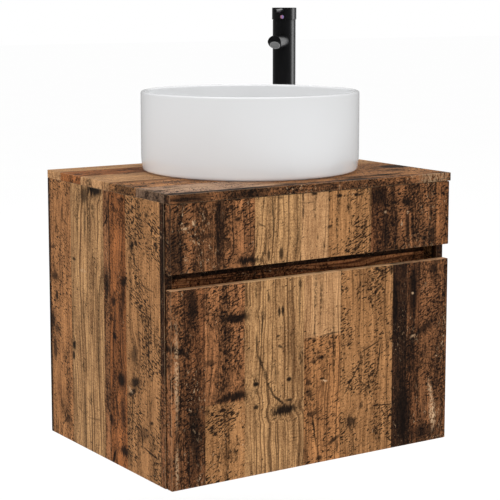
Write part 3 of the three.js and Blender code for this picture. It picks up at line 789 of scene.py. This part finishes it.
def trap():
    """Bottle trap: two nuts, the body with its branch, the ribbed cup, the outlet pipe and its rosette."""
    axis = Vector((BASIN_SITE.x, BASIN_SITE.y, 0))
    nut = hex_nut("inlet_nut", 58, WASTE_R + 0.4, 414, 432, at(axis))
    stand_for(nut, "trap_inlet_nut")
    low = TRAP_LOW.z / MM
    shell = [(27.5, low + 34), (30, low + 34, 0.4), (30, 376, 3), (24, 388, 3), (20, 390, 0.6),
             (15.4, 390, 0.4), (15.4, 384), (27.5, 374)]
    body = lathe("shell", shell, at(axis), 64, closed=True)
    to_wall = facing(Vector((axis.x, axis.y, OUTLET_Z)), (0, 1, 0))
    outlet_r = (OUTLET_HIGH.x - OUTLET_LOW.x) / 2 / MM
    branch = lathe("branch", [(outlet_r - 2, 26), (outlet_r + 2.5, 26), (outlet_r + 2.5, 54, 0.6),
                              (outlet_r - 2, 54, 0.6)], to_wall, 48, closed=True)
    core = lathe("core", [(0, low + 30), (27.5, low + 30), (27.5, 374), (0, 374)], at(axis), 64)
    carve(branch, core)
    hole = lathe("hole", [(0, 0), (outlet_r - 2, 0), (outlet_r - 2, 60), (0, 60)], to_wall, 48)
    join = body.modifiers.new("join", "BOOLEAN")
    join.operation = "UNION"
    join.solver = "EXACT"
    join.object = branch
    carve(body, hole)
    bpy.data.objects.remove(branch)
    stand_for(body, "trap_body")
    cup = [(0, low), (24, low, 2), (31, low + 6, 3), (33.5, low + 14, 3), (33.5, low + 44, 0.8),
           (30.4, low + 44, 0.4), (30.4, low + 33.6), (27, low + 33.6), (26, low + 12, 4), (20, low + 4, 3),
           (0, low + 4)]
    piece = lathe("cup", cup, at(axis), 144)
    ribs(piece, axis, 24, 31.5, 0.7)
    stand_for(piece, "trap_cup")
    outlet_nut = hex_nut("outlet_nut", 48, outlet_r + 2.9, 40, 53, to_wall)
    stand_for(outlet_nut, "trap_outlet_nut")
    reach = (WALL_Y - axis.y) / MM
    pipe = [(outlet_r - 2, 54.4), (outlet_r, 54.4, 0.3), (outlet_r, reach), (outlet_r - 2, reach)]
    stand_for(lathe("pipe", pipe, to_wall, 64, closed=True), "trap_outlet_pipe")
    rosette = [(outlet_r + 0.4, reach - 9, 0.3), (outlet_r + 3, reach - 9, 1.2), (27, reach - 5.4, 4),
               (32, reach, 1), (29, reach), (25, reach - 3), (outlet_r + 0.4, reach - 6)]
    stand_for(lathe("rosette", rosette, to_wall, closed=True), "wall_rosette")


def ribs(piece, axis, count, from_radius_mm, depth_mm):
    """Presses shallow flutes into the outer wall of a round piece."""
    for vertex in piece.data.vertices:
        out = Vector((vertex.co.x - axis.x, vertex.co.y - axis.y, 0))
        if out.length < from_radius_mm * MM:
            continue
        flute = max(0.0, math.cos(count * math.atan2(out.y, out.x)))
        vertex.co -= out.normalized() * depth_mm * MM * flute


# ---- tap ----
TAP_PLACE = at(TAP_SITE) @ Matrix.Rotation(TAP_TURN, 4, "Z")  # the spout points along this placement's +X


def along_spout(z_mm):
    """A placement in the tap whose own Z axis runs out along the spout's direction at height z_mm."""
    return TAP_PLACE @ Matrix.Translation((0, 0, z_mm * MM)) @ Matrix.Rotation(math.radians(90), 4, "Y")


def tap_body():
    top = CAP_RIM - 1
    collar = TAP_R - 0.7  # stands up inside the cap
    outline = [(12, 4.2), (TAP_R, 4.2, 0.3), (TAP_R, top, 0.6), (collar, top), (collar, top + 3, 0.5),
               (17, top + 3, 0.3), (17, 246), (12, 242)]
    stand_for(lathe("body", outline, TAP_PLACE, closed=True), "tap_body")
    base = [(12.5, 1.7), (26, 1.7), (26, 2.9, 0.8), (24.6, 4, 0.6), (12.5, 4)]
    stand_for(lathe("base", base, TAP_PLACE, closed=True), "tap_base_ring")


def tap_spout():
    tube = lathe("spout", [(0, 0), (SPOUT_R, 0), (SPOUT_R, SPOUT_REACH, 0.5), (0, SPOUT_REACH)],
                 along_spout(SPOUT_Z))
    body_r = TAP_R + 0.05
    body_space = lathe("space", [(0, 200), (body_r, 200), (body_r, 260), (0, 260)], TAP_PLACE)
    downward = Matrix.Rotation(math.radians(135), 4, "Y")
    top = SPOUT_Z + SPOUT_SLANT_TOP
    slant_top = TAP_PLACE @ Matrix.Translation((SPOUT_REACH * MM, 0, top * MM)) @ downward
    wedge = lathe("wedge", [(0, 0), (60, 0), (60, 40), (0, 40)], slant_top, 4)
    slope = (SPOUT_SLANT_TOP + SPOUT_R) / 2
    mouth = TAP_PLACE @ Matrix.Translation(((SPOUT_REACH - slope) * MM, 0, (top - slope) * MM)) @ downward
    recess_r = AERATOR_R + 0.3
    recess = lathe("recess", [(0, -9), (recess_r, -9), (recess_r, 4), (0, 4)], mouth, 64)
    carve(tube, body_space, wedge, recess)
    soften(tube, 0.35, 2, 35)
    stand_for(tube, "tap_spout")
    shell = [(0, -7), (8.5, -7), (AERATOR_R, -6.4), (AERATOR_R, 0.5, 0.4), (9.2, 0.9, 0.3), (8.4, 0.9, 0.2),
             (8.4, -0.6), (7.6, -0.6), (7.4, -1.2), (0, -1.2)]
    aerator = lathe("aerator", shell, mouth, 64)
    stand_for(aerator, "tap_aerator")
    aerator_grid(mouth)


def aerator_grid(mouth):
    """Fine bars across the mouth of the aerator."""
    build = bmesh.new()
    reach = 7.3
    for turn in (0, 90):
        for offset in range(-6, 7, 2):
            half = math.sqrt(reach ** 2 - offset ** 2)
            size = Matrix.Diagonal((2 * half, 0.5, 0.4, 1))
            place = Matrix.Rotation(math.radians(turn), 4, "Z") @ Matrix.Translation((0, offset, -0.95))
            bmesh.ops.create_cube(build, size=1, matrix=place @ size)
    grid = mesh_object("tap_aerator_grid", build, mouth @ Matrix.Scale(MM, 4))
    finish(grid, FINISHES[SLOT_OF["tap_aerator"]])
    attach(grid, BODY_OF["tap_aerator"])


def tap_handle():
    skirt = CAP_R - 0.9
    ceiling = TAP_HEIGHT - 11
    cup = [(0, ceiling), (skirt - 2, ceiling), (skirt, ceiling - 3), (skirt, CAP_RIM),
           (CAP_R, CAP_RIM, 0.5), (CAP_R, TAP_HEIGHT, 0.9), (0, TAP_HEIGHT)]
    cap = lathe("cap", cup, TAP_PLACE, 128)
    lever_at = along_spout(LEVER_Z)
    stem_hole = lathe("stem_hole", [(0, ceiling - 2), (4.3, ceiling - 2), (4.3, TAP_HEIGHT - 3),
                                    (0, TAP_HEIGHT - 3)], TAP_PLACE, 48)
    lever_hole = lathe("lever_hole", [(0, 11), (4.5, 11), (4.5, 40), (0, 40)], lever_at, 48)
    screw_hole = lathe("screw_hole", [(0, -40), (2.3, -40), (2.3, -4.1), (0, -4.1)], lever_at, 32)
    carve(cap, stem_hole, lever_hole, screw_hole)
    soften(cap, 0.2, 2, 50)
    stand_for(cap, "tap_handle_cap")
    pin = [(0, 11.4), (3, 11.4), (3, 19), (4.2, 20, 0.5), (3.2, LEVER_LENGTH, 0.6), (0, LEVER_LENGTH)]
    stand_for(lathe("lever", pin, lever_at, 48), "tap_lever")
    button = lathe("button", [(0, CAP_R - 3), (3.6, CAP_R - 3), (3.6, CAP_R + 0.5, 0.4), (0, CAP_R + 0.5)],
                   along_spout(CAP_RIM + INDICATOR_RISE), 48)
    space_r = CAP_R + 0.05
    low = CAP_RIM - 10
    bore = [(0, low), (space_r, low), (space_r, TAP_HEIGHT), (0, TAP_HEIGHT)]
    space = lathe("space", bore, TAP_PLACE, 128)
    carve(button, space)
    stand_for(button, "tap_indicator")


def tap_fixing():
    """What holds the tap: threaded shank, and below the countertop a seal, washer, nut and inlet tubes."""
    under = UNDERSIDE
    end = -62
    pitch = 1.5
    crest, root = 11.5, 10.9
    turns = int((under - 0.5 - end) / pitch)
    thread = [(root if i % 2 else crest, end + i * pitch / 2) for i in range(2 * turns)]
    shank = [(8.5, end)] + thread + [(crest, under - 0.4), (crest, 24), (8.5, 24)]
    stand_for(lathe("shank", shank, TAP_PLACE, 48, closed=True), "tap_shank")
    seal = [(12, under - 3), (22, under - 3, 0.6), (22, under, 0.6), (12, under)]
    stand_for(lathe("seal", seal, TAP_PLACE, 64, closed=True), "tap_under_seal")
    washer = [(12, under - 5), (22, under - 5, 0.3), (22, under - 3.2, 0.3), (12, under - 3.2)]
    stand_for(lathe("washer", washer, TAP_PLACE, 64, closed=True), "tap_washer")
    nut = hex_nut("nut", 38, 11.9, under - 16, under - 5.2, TAP_PLACE)
    stand_for(nut, "tap_mounting_nut")
    for side, name in ((-1, "tap_inlet_hot"), (1, "tap_inlet_cold")):
        tube = [(2.5, -84), (3.7, -84, 0.3), (3.7, -74, 0.2), (4.0, -73, 0.2), (4.0, -71, 0.2),
                (3.7, -70, 0.2), (3.7, 30), (2.5, 30)]
        place = TAP_PLACE @ Matrix.Translation((0, side * 4.2 * MM, 0))
        stand_for(lathe("inlet", tube, place, 48, closed=True), name)


camera()
studio()
floor()

FINISHES = {
    "zinc": zinc_plate(),
    "brass": turned_brass(),
    "rubber": soft_rubber(),
    "chrome": polished_chrome(),
    "tap_black": satin_black(),
    "trap_plastic": moulded_plastic("trap_white", (0.72, 0.72, 0.70, 1), (0.80, 0.80, 0.78, 1)),
    "cartridge_plastic": moulded_plastic("cartridge_cream", (0.55, 0.55, 0.52, 1), (0.64, 0.64, 0.61, 1)),
    "aerator_grey": moulded_plastic("aerator_grey", (0.22, 0.22, 0.22, 1), (0.30, 0.30, 0.30, 1)),
    "drawer_board": melamine(),
    "ceramic": glazed_ceramic(),
    "indicator": indicator_dot(),
}

# Layouts of the boards. Planks and marks are given as the Planks class says, in millimetres. A mark is
# (across, along, half width, half height, turn in degrees, strength).
DRAWER_PLANKS = [
    (25, 'brown'), (66, 'dark'), (146, 'red', 138, 1, 'speckled'), (271, 'pale'),
    (351, 'smooth', 232, 5, 'tan'), (468, 'speckled'), (500, 'black'), (530, 'dark'), (600, 'brown'),
]
DRAWER_MARKS = [
    (14, 240, 22, 7, -18, 0.9), (50, 90, 14, 60, 0, 0.6), (44, 310, 9, 22, 0, 0.7),
    (130, 283, 28, 8, 0, 0.95), (108, 262, 4, 20, 0, 0.5), (79, 211, 12, 5, 0, 0.6),
    (109, 227, 4, 2.5, 0, 0.8), (128, 240, 2, 2, 0, 0.8), (128, 147, 26, 8, 2, 0.95),
    (104, 144, 18, 4, 8, 0.8), (103, 126, 7, 3, 0, 0.9), (110, 58, 1.2, 24, 3, 0.7),
    (95, 44, 1.2, 22, -12, 0.6), (72, 128, 4, 5, 0, 0.5), (219, 284, 2.4, 9, 0, 0.9),
    (226, 285, 2.4, 9, 0, 0.9), (197, 312, 1.8, 9, 0, 0.7), (216, 241, 3, 2, 0, 0.8),
    (221, 222, 5, 2, -30, 0.8), (171, 162, 6, 4, 0, 0.95), (171, 121, 5, 3.5, 0, 0.9),
    (240, 161, 5, 3.5, 0, 0.95), (230, 108, 27, 8, 4, 0.95), (218, 128, 22, 1.6, -38, 0.85),
    (240, 124, 7, 2, 0, 0.85), (184, 268, 1.5, 26, -6, 0.7), (172, 232, 1.4, 20, 2, 0.75),
    (181, 198, 2.4, 20, 24, 0.75), (191, 174, 4, 10, 10, 0.6), (200, 150, 1.8, 18, 30, 0.75),
    (262, 290, 1.5, 50, 0, 0.6), (211, 170, 1, 26, 0, 0.5), (310, 191, 5, 3, 0, 0.95),
    (291, 186, 5, 4, 0, 0.7), (302, 191, 3, 2, 0, 0.6), (312, 153, 5, 1.6, 0, 0.9),
    (282, 150, 5, 5, 0, 0.7), (283, 130, 6, 8, 0, 0.7), (328, 214, 2.4, 5, 0, 0.7),
    (285, 228, 6, 1.4, 0, 0.7), (330, 232, 20, 1, 3, 0.7), (294, 64, 1.6, 32, 8, 0.9),
    (290, 92, 12, 4, 10, 0.7), (338, 37, 16, 3.5, 28, 0.8), (306, 9, 7, 4, 0, 0.8),
    (345, 25, 3, 14, 0, 0.7), (276, 30, 4, 40, 0, 0.5), (381, 148, 42, 0.9, 57, 0.85),
    (418, 197, 26, 0.9, 22, 0.8), (438, 172, 36, 1.1, 82, 0.75), (399, 134, 11, 0.8, -45, 0.7),
    (376, 64, 12, 9, -35, 0.8), (446, 85, 22, 0.8, -4, 0.9), (399, 90, 4, 4, 0, 0.7),
    (434, 300, 14, 3, 40, 0.7), (464, 335, 5, 9, 0, 0.8), (515, 292, 11, 56, 0, 0.85),
    (497, 60, 18, 62, 0, 0.8), (475, 260, 5, 60, 0, 0.8), (540, 216, 24, 6, 24, 0.7),
    (510, 175, 12, 40, 6, 0.6), (565, 325, 10, 9, 0, 0.7), (540, 20, 34, 12, 0, 0.6),
]
DRAWER_PALE = [
    (316, 148, 7, 1.8, -6, 1.0), (566, 55, 7, 34, 4, 0.95), (12, 200, 4, 90, 0, 0.6),
    (12, 40, 3, 40, 0, 0.55), (515, 285, 3, 2, 0, 0.7), (518, 205, 5, 2, 0, 0.6),
    (560, 100, 5, 20, 10, 0.6),
]

UPPER_PLANKS = [
    (106, 'brown'), (167, 'red'), (263, 'pale'), (323, 'smooth'), (415, 'speckled'), (450, 'dark'),
    (567, 'brown'), (600, 'amber'),
]
UPPER_MARKS = [
    (133, 486, 6, 2.5, 0, 0.9), (292, 484, 6, 2.2, 0, 0.95), (347, 477, 7, 2.6, 0, 0.9),
    (385, 476, 6, 2.6, 0, 0.85), (134, 452, 6, 3, 0, 0.8), (154, 380, 24, 6, -4, 0.95),
    (223, 386, 4.5, 10, 0, 0.8), (197, 384, 2.4, 10, 0, 0.8), (206, 450, 1.6, 40, 2, 0.7),
    (326, 424, 5, 2.6, 20, 0.8), (182, 438, 9, 1.2, -30, 0.6), (51, 388, 0.8, 20, 0, 0.7),
    (97, 430, 9, 60, 0, 0.6), (12, 400, 12, 60, 0, 0.5), (497, 455, 11, 8, 0, 0.9),
    (432, 470, 16, 18, 0, 0.7), (452, 400, 6, 30, 0, 0.7), (70, 428, 26, 4, 4, 0.5),
    (115, 410, 5, 10, 0, 0.5), (300, 407, 1.6, 4, 0, 0.6), (280, 470, 18, 0.8, 0, 0.4),
    (390, 385, 12, 2, 50, 0.7), (404, 420, 3, 10, -20, 0.7), (560, 390, 6, 16, 0, 0.7),
    (220, 482, 7, 1.4, 0, 0.5), (500, 410, 5, 34, 0, 0.6),
]
UPPER_PALE = [
    (47, 453, 3, 5, 0, 0.9), (30, 444, 5, 2, 10, 0.7), (32, 392, 4, 3, 0, 0.5),
    (487, 416, 2, 4, 0, 0.8), (501, 435, 2, 2.5, 0, 0.9), (450, 440, 3, 2, 0, 0.5),
]

SIDE_PLANKS = [
    (13, 'black', 195, 4, 'brown'), (130, 'speckled'), (190, 'rust'), (211, 'red'), (336, 'pale'),
    (420, 'tan'), (430, 'black'),
]
SIDE_MARKS = [
    (40, 442, 26, 1.2, 20, 0.85), (48, 50, 32, 1.1, 11, 0.85), (78, 66, 2.4, 14, 0, 0.8),
    (45, 104, 6, 3, -10, 0.85), (110, 400, 7, 9, 20, 0.9), (95, 408, 6, 4, 0, 0.85),
    (101, 378, 3, 11, -10, 0.8), (84, 299, 6, 3, 0, 0.8), (52, 334, 18, 1.4, 4, 0.6),
    (104, 212, 12, 16, 20, 0.6), (100, 164, 17, 8, -18, 0.85), (112, 143, 17, 5, -28, 0.85),
    (58, 460, 6, 4, 0, 0.7), (82, 453, 3, 5, 0, 0.7), (25, 412, 6, 5, 0, 0.7),
    (70, 80, 16, 10, 0, 0.45), (45, 270, 2, 40, 0, 0.4), (53, 225, 2, 45, 0, 0.5),
    (151, 158, 14, 15, 0, 0.95), (139, 334, 11, 9, -15, 0.9), (141, 308, 6, 20, 0, 0.6),
    (177, 294, 8, 7, 0, 0.85), (172, 262, 3.5, 26, 4, 0.6), (174, 232, 9, 5, 35, 0.95),
    (185, 262, 9, 3, -10, 0.6), (190, 420, 2.2, 70, 0, 0.8), (203, 432, 16, 1.6, -48, 0.85),
    (150, 475, 10, 5, -20, 0.6), (165, 455, 8, 3, 0, 0.6), (200, 320, 9, 30, 0, 0.7),
    (143, 30, 15, 9, 10, 0.9), (180, 12, 4, 18, 24, 0.9), (187, 78, 9, 9, 0, 0.75),
    (168, 110, 2, 30, -16, 0.7), (148, 100, 6, 30, 0, 0.6), (207, 200, 3, 90, 0, 0.5),
    (243, 484, 28, 11, -4, 0.95), (283, 470, 14, 16, 10, 0.7), (282, 420, 3, 34, 2, 0.6),
    (252, 452, 6, 5, 0, 0.5), (326, 348, 7, 3, 0, 0.8), (330, 186, 6, 8, 0, 0.95),
    (332, 166, 5, 8, 0, 0.9), (290, 50, 5, 70, 0, 0.5), (272, 210, 0.9, 100, 0, 0.4),
    (227, 60, 0.9, 60, 0, 0.4), (298, 270, 1.2, 44, -16, 0.5), (282, 270, 1.2, 44, 14, 0.5),
    (250, 64, 26, 1.2, -6, 0.4), (310, 70, 12, 1.2, 24, 0.5), (272, 92, 12, 1.2, 34, 0.5),
    (372, 425, 2.2, 16, 0, 0.75), (404, 304, 13, 7, 0, 0.7), (398, 268, 5, 9, 0, 0.9),
    (360, 412, 12, 1.4, 30, 0.6), (398, 205, 12, 8, 0, 0.6), (360, 40, 10, 8, -20, 0.7),
    (385, 66, 3, 10, 0, 0.7), (360, 130, 2.4, 10, 0, 0.6), (408, 165, 8, 22, 0, 0.7),
    (416, 220, 9, 16, 0, 0.8), (410, 360, 12, 3, -10, 0.6), (375, 310, 2, 30, 0, 0.4),
]
SIDE_PALE = [(119, 147, 10, 4, 24, 0.6), (291, 331, 13, 2.6, 0, 0.55)]

TOP_PLANKS = [
    (16, 'brown'), (112, 'tan', 250, 50, 'worn'), (206, 'tan'), (316, 'smooth'), (394, 'rust'),
    (450, 'smooth'),
]
TOP_MARKS = [
    (8, 40, 14, 44, 0, 0.75), (8, 150, 14, 60, 0, 0.6), (24, 250, 9, 26, 6, 0.7),
    (14, 390, 16, 30, -8, 0.7), (40, 470, 12, 24, 10, 0.8), (138, 575, 26, 34, 0, 0.9),
    (86, 540, 10, 20, 20, 0.7), (130, 20, 8, 16, 0, 0.8), (96, 62, 3, 26, 20, 0.7),
    (200, 40, 4, 30, -10, 0.6), (350, 14, 8, 8, 0, 0.8), (345, 70, 4, 22, 14, 0.6),
    (372, 40, 2, 40, 0, 0.6), (395, 18, 3, 12, 0, 0.6), (60, 14, 9, 12, 0, 0.8),
    (300, 585, 8, 14, 0, 0.6), (60, 0, 60, 7, 0, 0.6), (150, 0, 40, 6, 0, 0.5),
]
TOP_PALE = [(70, 90, 26, 60, 8, 0.4), (30, 210, 8, 40, 0, 0.6), (2, 560, 8, 40, 0, 0.4)]

# The rail's lower 50 mm is its wood. The black band above it is painted shadow: the shade under the upper
# front.
RAIL_PLANKS_AND_SHADOW = [(50, 'rail'), (120, 'black')]
# The inner boards are counted from the front of the vanity, or up from its bottom.
INNER_PLANKS = [(90, 'brown'), (200, 'tan'), (290, 'red'), (400, 'speckled'), (520, 'brown')]

CORNER = (LEFT, 0)
SIDE_CORNER = (FRONT_OF_SIDE, 0)
SPARSE_MARKS = SIDE_MARKS[::3]
INNER_FLAT = Planks("wood_inner_flat", "Y", "X", (FRONT_OF_SIDE, LEFT), INNER_PLANKS)
INNER_UPRIGHT = Planks("wood_inner_upright", "Z", "X", (0, LEFT), INNER_PLANKS)
WOODS = {
    # The drawer front's 0.95 is the strength of the painted highlight on its top edge.
    "drawer_front": Planks("wood_drawer", "X", "Z", CORNER, DRAWER_PLANKS, DRAWER_MARKS, DRAWER_PALE, 0.95),
    "upper_front_panel": Planks("wood_upper", "X", "Z", CORNER, UPPER_PLANKS, UPPER_MARKS, UPPER_PALE),
    "left_side_panel": Planks("wood_left", "Y", "Z", SIDE_CORNER, SIDE_PLANKS, SIDE_MARKS, SIDE_PALE),
    "right_side_panel": Planks("wood_right", "Y", "Z", SIDE_CORNER, SIDE_PLANKS, SPARSE_MARKS, SIDE_PALE),
    "countertop": Planks("wood_top", "Y", "X", (COUNTER_LOW.y, LEFT), TOP_PLANKS, TOP_MARKS, TOP_PALE),
    "groove_rail": Planks("wood_rail", "Z", "X", (RAIL_LOW.z, LEFT), RAIL_PLANKS_AND_SHADOW),
    "bottom_panel": INNER_FLAT,
    "front_stretcher": INNER_FLAT,
    "upper_back_rail": INNER_UPRIGHT,
    "lower_back_rail": INNER_UPRIGHT,
}

basin()
waste()
trap()
tap_body()
tap_spout()
tap_handle()
tap_fixing()

for name, node in frame["nodes"].items():
    finish(node, WOODS[name].material if name in WOODS else FINISHES[SLOT_OF[name]])
    if node.hide_render:
        continue
    weld = node.modifiers.new("weld", "WELD")
    weld.merge_threshold = 0.00001
    soften(node, 1.0 if name in WOODS else 0.4)
    smooth(node)
    if name in WOODS:
        even = node.modifiers.new("even", "WEIGHTED_NORMAL")
        even.weight = 100
